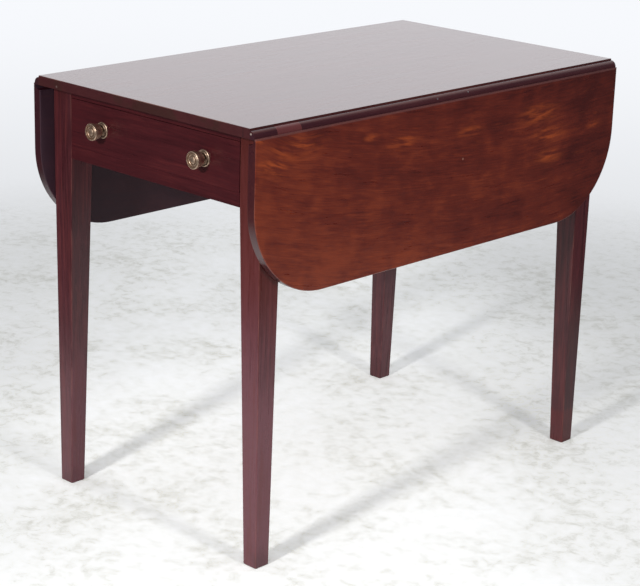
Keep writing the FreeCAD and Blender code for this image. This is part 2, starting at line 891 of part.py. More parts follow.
def drawer_front_piece():
    """The drawer front with blind sockets for the tails, a groove and the knob holes."""
    along = (drawer_face_y, drawer_front_back_y)
    front = block((-drawer_half_width, drawer_half_width), along, (drawer_low, drawer_front_high))
    for tail in front_tails_of_side():
        front = front.cut(tail).cut(mirrored_x(tail))
    front = front.cut(drawer_panel(drawer_groove_slack))
    for sign in (-1, 1):
        start = Vector(sign * knob_spacing / 2, drawer_face_y - overrun, knob_z)
        depth = drawer_front_thickness + 2 * overrun
        front = front.cut(Part.makeCylinder(stud_radius + stud_clearance, depth, start, Vector(0, 1, 0)))
    return front


# Turned knobs, made about the Y axis with the drawer face at y = 0

def turned(points):
    """A turning: each entry is a radius and a distance out from the drawer face, or an arc of two."""
    def place(radius, out):
        return Vector(radius, -out, 0)

    steps = []
    for entry in points[1:]:
        if len(entry) == 2:
            steps.append(place(*entry))
        else:
            steps.append((place(*entry[:2]), place(*entry[2:])))
    wire = closed_wire(place(*points[0]), *steps)
    return Part.Face(wire).revolve(Vector(0, 0, 0), Vector(0, 1, 0), 360)


def round_point(centre, radius, degrees):
    """A radius and a distance out, on a circle of the turning's outline."""
    angle = math.radians(degrees)
    return (centre[0] + radius * math.cos(angle), centre[1] + radius * math.sin(angle))


def knob_blank():
    """A brass knob: stud, waisted neck, bell, drum, flared rim, and a dished face with a ring and a boss."""
    stud_end = -(drawer_front_thickness + nut_thickness + stud_tail)
    rim_high = knob_projection - knob_rim_round
    rim_low = rim_high - knob_rim_height
    flare = knob_head_radius - knob_drum_radius
    drum_high = rim_low - flare
    neck_middle = rose_height + knob_neck_height / 2
    bell_low = rose_height + knob_neck_height
    bell_centre = (knob_drum_radius - knob_bell_radius, bell_low + knob_bell_radius)
    flare_centre = (knob_head_radius, drum_high)
    rim_centre = (knob_head_radius - knob_rim_round, rim_high)
    dish_edge = knob_head_radius - knob_rim_width
    dish_floor = knob_projection - knob_dish_depth
    ring_crest = (knob_ring_radius, dish_floor + knob_ring_half_width)
    boss_edge = knob_projection - knob_boss_crown
    dome = (knob_boss_radius ** 2 + knob_boss_crown ** 2) / (2 * knob_boss_crown)
    dome_half_turn = math.degrees(math.asin(knob_boss_radius / dome)) / 2
    dome_middle = round_point((0, knob_projection - dome), dome, 90 - dome_half_turn)
    return turned([
        (0, stud_end),
        (stud_radius, stud_end),
        (stud_radius, rose_height),
        (bell_centre[0], rose_height),
        (knob_neck_radius, neck_middle, bell_centre[0], bell_low),
        round_point(bell_centre, knob_bell_radius, -45) + (knob_drum_radius, bell_centre[1]),
        (knob_drum_radius, drum_high),
        round_point(flare_centre, flare, 135) + (knob_head_radius, rim_low),
        (knob_head_radius, rim_high),
        round_point(rim_centre, knob_rim_round, 45) + (rim_centre[0], knob_projection),
        (dish_edge, knob_projection),
        (dish_edge - knob_rim_round / 2, dish_floor),
        (knob_ring_radius + knob_ring_half_width, dish_floor),
        ring_crest + (knob_ring_radius - knob_ring_half_width, dish_floor),
        (knob_boss_radius, dish_floor),
        (knob_boss_radius, boss_edge),
        dome_middle + (0, knob_projection),
    ])


def rose_blank():
    """The round rose behind a knob: a beaded rim, a hollow and a raised middle."""
    hole = stud_radius + stud_clearance

    def at(shares):
        """A point, or an arc's middle and end, from shares of the radius and the height."""
        sizes = (rose_radius, rose_height) * (len(shares) // 2)
        return tuple(share * size for share, size in zip(shares, sizes))

    return turned([
        (hole, 0),
        (rose_radius, 0),
        at(rose_edge_shares),
        at(rose_rim_shares),
        at(rose_hollow_shares),
        at(rose_slope_shares),
        at(rose_crown_shares),
        (hole, rose_height),
    ])


def nut_blank():
    """The square nut on a knob's stud, inside the drawer."""
    half = nut_size / 2
    inside = drawer_front_thickness
    nut = block((-half, half), (inside, inside + nut_thickness), (-half, half))
    start = Vector(0, inside - overrun, 0)
    bore_radius = stud_radius + screw_clearance
    bore = Part.makeCylinder(bore_radius, nut_thickness + 2 * overrun, start, Vector(0, 1, 0))
    return nut.cut(bore)


def at_knob(shape, side):
    placed = shape.copy()
    placed.translate(Vector(side * knob_spacing / 2, drawer_face_y, knob_z))
    return placed


# Build every piece

def build_top_and_leaves():
    beds = [hinge_beds_in_top(place) for place in hinge_places()]
    top = top_board_blank()
    for bed in beds:
        top = top.cut(bed).cut(mirrored_x(bed))
    for point in top_screw_points():
        top = top.cut(screw_hole(point, Vector(0, 0, 1), *top_screw_sizes))
    save("top_board", top)
    leaf = leaf_piece()
    for name, side in SIDES:
        save("leaf_" + name, on_side(leaf, side))


def build_hinges():
    up = Vector(0, 0, 1)
    place_names = ("front", "middle", "back")
    pins = []
    top_screws = []
    for name, side in SIDES:
        leaf_screws = []
        for index, place in enumerate(hinge_places()):
            label = name + "_" + place_names[index]
            save("hinge_top_flap_" + label, on_side(hinge_flap(place, False), side))
            save("hinge_leaf_flap_" + label, on_side(hung(hinge_flap(place, True)), side))
            span = (place - hinge_length / 2, place + hinge_length / 2)
            pins.append(on_side(hinge_rod(hinge_pin_radius, span), side))
            for point in flap_screw_points(place, False):
                top_screws.append(on_side(screw(point, up, *flap_screw_sizes), side))
            for point in flap_screw_points(place, True):
                leaf_screws.append(on_side(hung(screw(point, up, *flap_screw_sizes)), side))
        save("hinge_leaf_screws_" + name, leaf_screws)
    save("hinge_pins", pins)
    save("hinge_top_screws", top_screws)


def build_frame():
    for end_name, end in ENDS:
        for side_name, side in SIDES:
            save("leg_" + end_name + "_" + side_name, leg_piece(side, end))
    rail = side_rail_piece()
    for name, side in SIDES:
        save("side_rail_" + name, on_side(rail, side))
    save("end_rail", end_rail_piece())
    save("drawer_lower_rail", lower_rail_piece())
    save("drawer_upper_rail", upper_rail_piece())
    for name, side in SIDES:
        save("drawer_runner_" + name, on_side(runner_piece(), side))
        save("drawer_kicker_" + name, on_side(kicker_piece(), side))
    save("drawer_stops", drawer_stop_pieces())
    save("glue_blocks", glue_block_pieces())
    up = Vector(0, 0, 1)
    save("top_screws", [screw(point, up, *top_screw_sizes) for point in top_screw_points()])
    rail_screws = [screw(point, Vector(1, 0, 0), *rail_screw_sizes) for point in side_rail_screw_points()]
    save("rail_screws", rail_screws + [mirrored_x(one) for one in rail_screws])


def build_fly_brackets():
    bracket = fly_bracket_blank()
    end_block = fly_end_block_blank()
    centre_block = fly_centre_block_piece()
    for side_name, side in SIDES:
        pins = []
        save("fly_centre_block_" + side_name, on_side(centre_block, side))
        for end_name, end in ENDS:
            label = end_name + "_" + side_name
            save("fly_bracket_" + label, at_fly(bracket, side, end))
            drilled = without_rail_screws(at_fly(end_block, 1, end))
            save("fly_end_block_" + label, on_side(drilled, side))
            pins.append(at_fly(fly_pin(), side, end))
        save("fly_pins_" + side_name, pins)


def build_drawer():
    save("drawer_front", drawer_front_piece())
    side_piece = drawer_side_piece()
    for name, side in SIDES:
        save("drawer_side_" + name, on_side(side_piece, side))
    save("drawer_back", drawer_back_piece())
    save("drawer_bottom", drawer_panel())
    nuts = []
    for name, side in SIDES:
        save("knob_" + name, at_knob(knob_blank(), side))
        save("knob_rose_" + name, at_knob(rose_blank(), side))
        nuts.append(at_knob(nut_blank(), side))
    save("knob_nuts", nuts)


os.makedirs("parts", exist_ok=True)
build_top_and_leaves()
build_hinges()
build_frame()
build_fly_brackets()
build_drawer()
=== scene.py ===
# %% [markdown]
# A pembroke table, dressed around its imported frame.
# A pembroke table is a small drop-leaf table: a fixed top, a leaf hanging on each side from a rule
# joint, a drawer in one end and four tapered legs. Its solids come from the frame, true to size.
# This lesson gives every solid a finish, adds the marks that two centuries leave on such a table,
# and sets it on a pale studio floor, seen as the photograph sees it.

# %% Load the frame
import math

import bpy
from mathutils import Matrix, Vector


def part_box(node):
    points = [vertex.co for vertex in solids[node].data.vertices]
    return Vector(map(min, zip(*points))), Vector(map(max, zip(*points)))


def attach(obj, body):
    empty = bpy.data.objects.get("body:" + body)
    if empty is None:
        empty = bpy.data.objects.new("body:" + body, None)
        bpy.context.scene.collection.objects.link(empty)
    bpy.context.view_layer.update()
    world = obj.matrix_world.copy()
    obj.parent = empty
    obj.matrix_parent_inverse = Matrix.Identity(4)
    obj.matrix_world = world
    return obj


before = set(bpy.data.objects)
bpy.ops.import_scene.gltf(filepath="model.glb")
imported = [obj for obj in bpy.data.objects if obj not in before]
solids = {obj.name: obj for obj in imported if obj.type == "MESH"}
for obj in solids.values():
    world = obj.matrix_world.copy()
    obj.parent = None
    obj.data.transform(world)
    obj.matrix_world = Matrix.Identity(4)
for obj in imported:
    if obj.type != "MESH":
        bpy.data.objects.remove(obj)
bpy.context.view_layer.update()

# %% [markdown]
# The camera comes first, because every later choice is judged through it.
# Its place could be found by eye, but the photograph shows enough corners of the table to solve for
# it: the corners of the top, the feet and the knobs, at the sizes that the frame has.
# The solution is a long lens a little above the table, rolled by under two degrees.

# %% Camera
camera_place = Vector((2.2278, -2.3592, 1.3493))
camera_aim = Vector((0.0893, -0.1199, 0.3619))
camera_roll = math.radians(1.70)
photo_width_pixels = 640
focal_pixels = 1928.5
sensor_width = 36.0


def make_camera():
    """A camera at the photograph's place, with its lens worked out from the focal length in pixels."""
    settings = bpy.data.cameras.new("photo_camera")
    settings.sensor_fit = "HORIZONTAL"
    settings.sensor_width = sensor_width
    settings.lens = focal_pixels * sensor_width / photo_width_pixels
    camera = bpy.data.objects.new("photo_camera", settings)
    bpy.context.scene.collection.objects.link(camera)
    aimed = (camera_aim - camera_place).to_track_quat("-Z", "Y").to_matrix().to_4x4()
    roll = Matrix.Rotation(camera_roll, 4, "Z")
    camera.matrix_world = Matrix.Translation(camera_place) @ aimed @ roll
    bpy.context.scene.camera = camera
    return camera


print("camera lens in mm:", round(make_camera().data.lens, 1))

# %% [markdown]
# Materials are node trees, and a tree built in code is easier to read with a few short helpers.
# Each helper adds one node, feeds its inputs and hands back its output, so a recipe reads as a list
# of steps. A value that is the same all over a surface never goes through a node: it is set on the
# shader itself.

# %% Helpers: colours, links and sums
def paint(red, green, blue):
    """A colour written as it looks on screen, from 0 to 255, turned into the light that nodes use."""
    shares = (red / 255, green / 255, blue / 255)
    light = [s / 12.92 if s <= 0.04045 else ((s + 0.055) / 1.055) ** 2.4 for s in shares]
    return (*light, 1.0)


def feed(tree, socket, value):
    """Link an output to an input, or set the input to a plain value."""
    if isinstance(value, bpy.types.NodeSocket):
        tree.links.new(value, socket)
    else:
        socket.default_value = value


def calc(tree, operation, *values):
    """One Math node."""
    node = tree.nodes.new("ShaderNodeMath")
    node.operation = operation
    for socket, value in zip(node.inputs, values):
        feed(tree, socket, value)
    return node.outputs[0]


def vector_calc(tree, operation, *values):
    """One Vector Math node, for places and directions."""
    node = tree.nodes.new("ShaderNodeVectorMath")
    node.operation = operation
    for socket, value in zip(node.inputs, values):
        feed(tree, socket, value)
    gives_number = operation in ("DOT_PRODUCT", "LENGTH", "DISTANCE")
    return node.outputs["Value"] if gives_number else node.outputs[0]


def parts_of(tree, vector):
    """The x, y and z of a vector, as three outputs."""
    node = tree.nodes.new("ShaderNodeSeparateXYZ")
    tree.links.new(vector, node.inputs[0])
    return node.outputs[0], node.outputs[1], node.outputs[2]


print("the middle grey of a screen, as light:", round(paint(128, 128, 128)[0], 3))

# %% Helpers: steps, noise and mixes
def ease(tree, value, low, high):
    """A soft step: 0 below low, 1 above high. With low above high it falls instead."""
    node = tree.nodes.new("ShaderNodeMapRange")
    node.interpolation_type = "SMOOTHSTEP"
    falls = low > high
    feed(tree, node.inputs["Value"], value)
    node.inputs["From Min"].default_value = min(low, high)
    node.inputs["From Max"].default_value = max(low, high)
    node.inputs["To Min"].default_value = 1.0 if falls else 0.0
    node.inputs["To Max"].default_value = 0.0 if falls else 1.0
    return node.outputs["Result"]


def cloud(tree, place, repeats, detail=2.0, twist=0.0, crisp=0.5):
    """Noise with so many repeats a metre along each axis. crisp gives weight to fine detail."""
    node = tree.nodes.new("ShaderNodeTexNoise")
    node.inputs["Scale"].default_value = 1.0
    node.inputs["Detail"].default_value = detail
    node.inputs["Roughness"].default_value = crisp
    node.inputs["Distortion"].default_value = twist
    tree.links.new(vector_calc(tree, "MULTIPLY", place, repeats), node.inputs["Vector"])
    return node.outputs[0]


def ramp(tree, value, *stops):
    """Colours along a value: each stop is a place from 0 to 1 and a colour."""
    node = tree.nodes.new("ShaderNodeValToRGB")
    feed(tree, node.inputs[0], value)
    steps = node.color_ramp.elements
    while len(steps) < len(stops):
        steps.new(0.5)
    for step, (place, tint) in zip(steps, stops):
        step.position = place
        step.color = tint
    return node.outputs[0]


def tinted(tree, share, first, second, way="MIX"):
    """Mix two colours by a share."""
    node = tree.nodes.new("ShaderNodeMix")
    node.data_type = "RGBA"
    node.blend_type = way
    feed(tree, node.inputs[0], share)
    feed(tree, node.inputs[6], first)
    feed(tree, node.inputs[7], second)
    return node.outputs[2]


def either(tree, *values):
    """The largest of several masks."""
    most = values[0]
    for value in values[1:]:
        most = calc(tree, "MAXIMUM", most, value)
    return most


def both(tree, first, second):
    """1 only where two masks are both 1."""
    return calc(tree, "MULTIPLY", first, second)


print("masks join by", either.__name__, "and", both.__name__)

# %% Helpers: starting a finish and putting it on
def start_finish(name):
    """A new material: its tree, its shader, and the place and normal on the piece."""
    finish = bpy.data.materials.new(name)
    finish.use_nodes = True
    tree = finish.node_tree
    where = tree.nodes.new("ShaderNodeTexCoord")
    shader = tree.nodes["Principled BSDF"]
    return finish, tree, shader, where.outputs["Object"], where.outputs["Normal"]


def relief(tree, shader, height, depth, strength):
    """Fine relief from a height of 0 to 1, at most depth metres deep."""
    bump = tree.nodes.new("ShaderNodeBump")
    bump.inputs["Strength"].default_value = strength
    bump.inputs["Distance"].default_value = depth
    tree.links.new(height, bump.inputs["Height"])
    tree.links.new(bump.outputs[0], shader.inputs["Normal"])


def put_on(finish, *names):
    """Give a finish to solids of the frame, by name."""
    for name in names:
        for slot in solids[name].material_slots:
            slot.material = finish
    print(finish.name, "on", len(names), "solids")


def named(*starts):
    """The names of the frame's solids that begin with any of these words."""
    return sorted(name for name in solids if name.startswith(starts))


print("legs to finish:", len(named("leg_")))

# %% [markdown]
# The photograph was taken in a studio: a pale mottled floor that runs up into a white backdrop.
# A real sweep of paper could be modelled, but other views would show its edge. Here the floor is a
# disc that fades out into the white world round it, for the camera, so no edge shows from any side.
# Such a floor is exposed until it is nearly white, so the camera sees it lifted, most under the table
# and less at the back and to the sides, and a share of what it sees is the floor's own pale colour.
# Light that bounces off the floor on to the table isn't lifted. Polished uprights mirror the floor
# near their feet and the dim room further off, so in mirror rays the floor fades earlier.

# %% Floor
floor_radius = 2.6
floor_sides = 96
smudge_repeats, smudge_share = (4.5, 4.5, 4.5), 0.38
scuff_repeats, scuff_share = (36.0, 36.0, 36.0), 0.62
floor_tones = ((0.34, paint(217, 216, 208)), (0.49, paint(248, 248, 245)), (0.60, paint(254, 254, 253)))
seen_fade = (1.25, 2.2)
mirror_fade = (0.75, 1.5)
floor_own_share = 0.22
floor_lift = 1.42
floor_lift_way = (-0.45, 0.89, 0.0)
floor_lift_slope, floor_lift_start = 0.6, 0.36
floor_lift_shares = ((0.06, 0.88), (0.36, 0.99), (0.90, 0.86))
floor_side_way = (0.72, 0.69, 0.0)
floor_side_middle = -0.08
floor_side_fade = (0.18, 0.66)
floor_side_loss = 0.22


def join_shaders(tree, share, first, second):
    """Mix two shaders by a share."""
    node = tree.nodes.new("ShaderNodeMixShader")
    for socket, value in zip(node.inputs, (share, first, second)):
        feed(tree, socket, value)
    return node.outputs[0]


def make_floor():
    """A pale disc under the table, with smudges, that fades out into the backdrop."""
    bpy.ops.object.select_all(action="DESELECT")
    bpy.ops.mesh.primitive_circle_add(vertices=floor_sides, radius=floor_radius, fill_type="NGON")
    floor = bpy.context.object
    floor.name = "floor"
    finish, tree, shader, place, _ = start_finish("pale_floor")
    smudges = calc(tree, "MULTIPLY", cloud(tree, place, smudge_repeats, 3.0, 0.3), smudge_share)
    scuffs = cloud(tree, place, scuff_repeats, 7.0, 0.4, 0.72)
    tone = ramp(tree, calc(tree, "MULTIPLY_ADD", scuffs, scuff_share, smudges), *floor_tones)
    feed(tree, shader.inputs["Base Color"], tone)
    shader.inputs["Roughness"].default_value = 0.75
    shader.inputs["Specular IOR Level"].default_value = 0.1
    rays = tree.nodes.new("ShaderNodeLightPath")
    along = vector_calc(tree, "DOT_PRODUCT", place, floor_lift_way)
    along = calc(tree, "MULTIPLY_ADD", along, floor_lift_slope, floor_lift_start)
    lift = ramp(tree, along, *((at, (share, share, share, 1.0)) for at, share in floor_lift_shares))
    aside = vector_calc(tree, "DOT_PRODUCT", place, floor_side_way)
    aside = calc(tree, "ABSOLUTE", calc(tree, "SUBTRACT", aside, floor_side_middle))
    sides = calc(tree, "MULTIPLY_ADD", ease(tree, aside, *floor_side_fade), -floor_side_loss, 1.0)
    lift = calc(tree, "MULTIPLY", calc(tree, "MULTIPLY", lift, sides), floor_lift)
    lifted = tree.nodes.new("ShaderNodeBsdfDiffuse")
    feed(tree, lifted.inputs["Color"], vector_calc(tree, "MULTIPLY", tone, lift))
    own = tree.nodes.new("ShaderNodeEmission")
    feed(tree, own.inputs["Color"], tone)
    seen = join_shaders(tree, floor_own_share, lifted.outputs[0], own.outputs[0])
    pale = join_shaders(tree, rays.outputs["Is Camera Ray"], shader.outputs[0], seen)
    distance = vector_calc(tree, "LENGTH", place)
    mirrored = both(tree, ease(tree, distance, *mirror_fade), rays.outputs["Is Glossy Ray"])
    clear = tree.nodes.new("ShaderNodeBsdfTransparent")
    fade = either(tree, ease(tree, distance, *seen_fade), mirrored)
    faded = join_shaders(tree, fade, pale, clear.outputs[0])
    tree.links.new(faded, tree.nodes["Material Output"].inputs["Surface"])
    floor.data.materials.append(finish)
    return floor


print("floor across in m:", round(make_floor().dimensions.x, 2))

# %% [markdown]
# Each leg in the photograph casts two soft shadows, one back along the table and one across it.
# Followed from the feet towards the light, the lines of each set meet, and that is where the lamp
# stands: two softboxes, one at either hand of the camera. The short shadows under the knobs say that
# they stand low. The ceiling gives back some of their light, so the fill is stronger from above.
# In mirror rays there is a white backdrop on the far side of the table and a dim room all round else.
# The flat top mirrors the backdrop and goes pale, while moulded edges and knobs mirror both, and keep
# their dark lines.

# %% Light
backdrop_high = paint(247, 249, 253)
backdrop_low = paint(224, 226, 229)
backdrop_turn = (-0.29, -0.16)
backdrop_side = (-0.69, 0.72, 0.0)
backdrop_edge = (0.30, 0.55)
backdrop_foot = (-0.04, 0.06)
backdrop_mirrored = paint(248, 245, 249)
room_dim = paint(70, 68, 70)
fill_low = paint(138, 141, 146)
fill_high = paint(192, 195, 200)
fill_rise = (0.1, 0.8)
softbox_size = 0.36
softbox_aim = Vector((0, 0, 0.35))
softbox_left, left_watts = Vector((0.66, -3.62, 1.95)), 90
softbox_right, right_watts = Vector((2.90, -0.48, 1.80)), 32


def make_world():
    """White where the camera looks, a white far side in mirrors, and fill for everything else."""
    world = bpy.data.worlds.new("studio")
    bpy.context.scene.world = world
    world.use_nodes = True
    tree = world.node_tree
    rays = tree.nodes.new("ShaderNodeLightPath")
    heading = tree.nodes.new("ShaderNodeTexCoord").outputs["Generated"]
    rise = parts_of(tree, heading)[2]
    backdrop = tinted(tree, ease(tree, rise, *backdrop_turn), backdrop_low, backdrop_high)
    far_side = ease(tree, vector_calc(tree, "DOT_PRODUCT", heading, backdrop_side), *backdrop_edge)
    far_side = both(tree, far_side, ease(tree, rise, *backdrop_foot))
    mirrored = tinted(tree, far_side, room_dim, backdrop_mirrored)
    fill = tinted(tree, ease(tree, rise, *fill_rise), fill_low, fill_high)
    clear = either(tree, rays.outputs["Is Glossy Ray"], rays.outputs["Is Transmission Ray"])
    light = tinted(tree, clear, fill, mirrored)
    light = tinted(tree, rays.outputs["Is Camera Ray"], light, backdrop)
    feed(tree, tree.nodes["Background"].inputs["Color"], light)
    tree.nodes["Background"].inputs["Strength"].default_value = 1.0


def make_softbox(name, place, watts):
    """A square lamp that faces the table and isn't itself in view."""
    lamp = bpy.data.lights.new(name, "AREA")
    lamp.shape = "SQUARE"
    lamp.size = softbox_size
    lamp.energy = watts
    box = bpy.data.objects.new(name, lamp)
    bpy.context.scene.collection.objects.link(box)
    aimed = (softbox_aim - place).to_track_quat("-Z", "Y").to_matrix().to_4x4()
    box.matrix_world = Matrix.Translation(place) @ aimed
    box.visible_camera = False


make_world()
make_softbox("softbox_left", softbox_left, left_watts)
make_softbox("softbox_right", softbox_right, right_watts)
print("softboxes of", left_watts, "and", right_watts, "watts")

# %% [markdown]
# Wood is solid all through, so its pattern is solid too: noise in three dimensions, drawn out along
# the grain. A board that is cut across the grain then shows end grain by itself, with no seams.
# A picture wrapped over the boards would show the same figure on each and stretch at the edges.
# Each board is turned so that its grain runs along the pattern's x, and shifted so that no two match.

# %% Grain shared by every timber
GRAIN_TURNS = {"X": (0, 0, 0), "Y": (0, 0, -math.pi / 2), "Z": (0, math.pi / 2, 0)}
GRAIN_AXES = {"X": (1, 0, 0), "Y": (0, 1, 0), "Z": (0, 0, 1)}
sway_repeats = (3.0, 7.0, 7.0)
end_grain_lean = (0.6, 0.95)
arris_rise = (0.10, 0.40)
arris_fall = (0.985, 0.85)


def along_grain(tree, place, grain, shift, wander):
    """Places turned so that the grain runs along x, then the same with a slow wander in the fibres."""
    turn = tree.nodes.new("ShaderNodeMapping")
    turn.inputs["Location"].default_value = shift
    turn.inputs["Rotation"].default_value = GRAIN_TURNS[grain]
    tree.links.new(place, turn.inputs["Vector"])
    straight = turn.outputs[0]
    sway = tree.nodes.new("ShaderNodeTexNoise")
    sway.inputs["Scale"].default_value = 1.0
    sway.inputs["Detail"].default_value = 1.5
    tree.links.new(vector_calc(tree, "MULTIPLY", straight, sway_repeats), sway.inputs["Vector"])
    offset = vector_calc(tree, "SUBTRACT", sway.outputs["Color"], (0.5, 0.5, 0.5))
    offset = vector_calc(tree, "MULTIPLY", offset, (0.0, wander, wander))
    return straight, vector_calc(tree, "ADD", straight, offset)


def facing(tree, normal, direction, low, high):
    """1 on faces that look along a direction, falling to 0 as they turn away."""
    return ease(tree, vector_calc(tree, "DOT_PRODUCT", normal, direction), low, high)


def end_grain(tree, normal, grain):
    """1 on faces cut across the grain, 0 on faces along it."""
    across = vector_calc(tree, "DOT_PRODUCT", normal, GRAIN_AXES[grain])
    return ease(tree, calc(tree, "ABSOLUTE", across), *end_grain_lean)


def arris(tree, normal, direction):
    """1 on the rounded edge of a face that looks along a direction, 0 on the flats beside it."""
    lean = calc(tree, "ABSOLUTE", vector_calc(tree, "DOT_PRODUCT", normal, direction))
    return both(tree, ease(tree, lean, *arris_rise), ease(tree, lean, *arris_fall))


print("grain runs along", ", ".join(GRAIN_TURNS))

# %% [markdown]
# Mahogany is the show wood. Its figure has several scales: soft ribbons of light and dark a few
# centimetres wide, streaks of a few millimetres, fibres, and short dark pores that hold old polish.
# One recipe makes that figure for every board, and a second one lays the French polish over it: a
# satin body under a clear coat. Each kind of board then adds its own marks between the two, so the
# top, the leaves, the legs and the rails are clearly one wood but not one pattern.

# %% Mahogany: figure and polish
ribbon_repeats = (1.8, 26.0, 26.0)
plain_streaks = (5.0, 150.0, 150.0)
fibre_repeats = (30.0, 620.0, 620.0)
mottle_repeats = (19.0, 19.0, 19.0)
plain_shares = (0.26, 0.42, 0.22, 0.10)
fine_pores, fine_pore_edge, fine_pore_share = (120.0, 2100.0, 2100.0), (0.60, 0.70), 0.4
mahogany_stops = (0.36, 0.50, 0.64)
polish_specular = 0.4
coat_roughness = 0.12
pore_depth = 0.0002


def mahogany_figure(tree, place, grain, shift, tones, wander, drift=None,
                    streaks=plain_streaks, shares=plain_shares):
    """Colour of the wood and the layers it is made of. drift shifts the tone along the board."""
    straight, wavy = along_grain(tree, place, grain, shift, wander)
    ribbon = cloud(tree, wavy, ribbon_repeats, 2.0, 0.2)
    streak = cloud(tree, wavy, streaks, 4.0, 0.2, 0.7)
    fibre = cloud(tree, wavy, fibre_repeats, 2.0)
    mottle = cloud(tree, place, mottle_repeats, 3.0, 0.5)
    pores = ease(tree, cloud(tree, straight, fine_pores, 1.0), *fine_pore_edge)
    tone = drift or 0.0
    for layer, share in zip((ribbon, streak, fibre, mottle), shares):
        tone = calc(tree, "MULTIPLY_ADD", layer, share, tone)
    wood = ramp(tree, tone, *zip(mahogany_stops, tones))
    wood = blot(tree, wood, pores, fine_pore_share, tones[0])
    return wood, streak, fibre, mottle, pores


def polish(tree, shader, wood, rough, coat, fibre, pores, dents=0.22):
    """French polish: the coloured wood, its sheen, the clear coat, and open pores that dent it."""
    feed(tree, shader.inputs["Base Color"], wood)
    feed(tree, shader.inputs["Roughness"], rough)
    feed(tree, shader.inputs["Coat Weight"], coat)
    shader.inputs["Coat Roughness"].default_value = coat_roughness
    shader.inputs["Specular IOR Level"].default_value = polish_specular
    height = calc(tree, "SUBTRACT", calc(tree, "MULTIPLY", fibre, 0.4), pores)
    relief(tree, shader, height, pore_depth, dents)


def blot(tree, wood, mask, share, tint):
    """Lay a tint over the wood where a mask is 1."""
    return tinted(tree, calc(tree, "MULTIPLY", mask, share), wood, tint)


def spot(tree, place, centre, inner, outer):
    """1 within the inner distance of a place, 0 outside the outer one."""
    return ease(tree, vector_calc(tree, "DISTANCE", place, centre), outer, inner)


def between(tree, value, low, high, soft):
    """1 where a value lies between two others, with soft ends."""
    return both(tree, ease(tree, value, low - soft, low), ease(tree, value, high + soft, high))


def line_at(tree, value, at, outer, inner):
    """1 within the inner distance of a line where a value has one size, 0 outside the outer one."""
    return ease(tree, calc(tree, "ABSOLUTE", calc(tree, "SUBTRACT", value, at)), outer, inner)


up, down = (0, 0, 1), (0, 0, -1)
to_right, to_drawer_end = (1, 0, 0), (0, -1, 0)
dull_turn = (0.3, 0.7)
worn_wood = paint(146, 98, 82)
dark_dull_face = paint(53, 35, 48)
grime = paint(26, 14, 16)
print("shares of ribbon, streak, fibre and mottle:", plain_shares)

# %% [markdown]
# The top has been polished for longest and mirrors most, but only on its flat. Its ends and its
# moulded long edges are duller: the ends have browned in patches, and the quirk and the lower round
# of the moulding are darkened with painted shade. The photograph also shows a joint line beside the
# moulding, a redder piece let into the moulding near the drawer, two pale chips on the end, and
# rubbed wood along the end's upper arris. All of these are flush with the surface, so they belong in
# the finish, not in the shape.

# %% The top: where its marks are
top_low, top_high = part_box("top_board")
moulding_radius = 0.0105
moulding_fillet = 0.0030
moulding_inset = Vector((moulding_radius, 0, moulding_fillet + moulding_radius))
moulding_centre = Vector((top_high.x, 0, top_high.z)) - moulding_inset
moulding_edge = (moulding_centre.x - 0.0005, moulding_centre.x + 0.0010)
shade_heights = (top_high.z - 0.0045, top_high.z - 0.0075)
quirk_heights, quirk_soft = (top_high.z - 0.0035, top_high.z - 0.0010), 0.0006
edge_strip_line, edge_strip_end = 0.221, 0.234
joint_width = (0.0011, 0.0004)
let_in_piece, let_in_soft = (-0.398, -0.3458), 0.0008
let_in_edge = (moulding_centre.x + 0.0002, moulding_centre.x + 0.0008)
let_in_seam = (0.0009, 0.0003)
end_chip = (-0.2017, top_low.y, 0.7088)
corner_chip = (0.2509, top_low.y, 0.7121)
chip_size = (0.0010, 0.0022)
print("the moulding's round starts", round(moulding_centre.x, 4), "m from the middle of the top")

# %% The top: its finish
top_tones = paint(60, 27, 26), paint(76, 35, 33), paint(92, 46, 41)
top_end_tone = paint(60, 16, 22)
top_end_brown = paint(50, 28, 20)
# The colour of the painted shade in the moulding's quirk and lower round.
moulding_painted_shade = paint(42, 16, 32)
let_in_tone = paint(106, 54, 54)
chip_tone = paint(176, 158, 148)


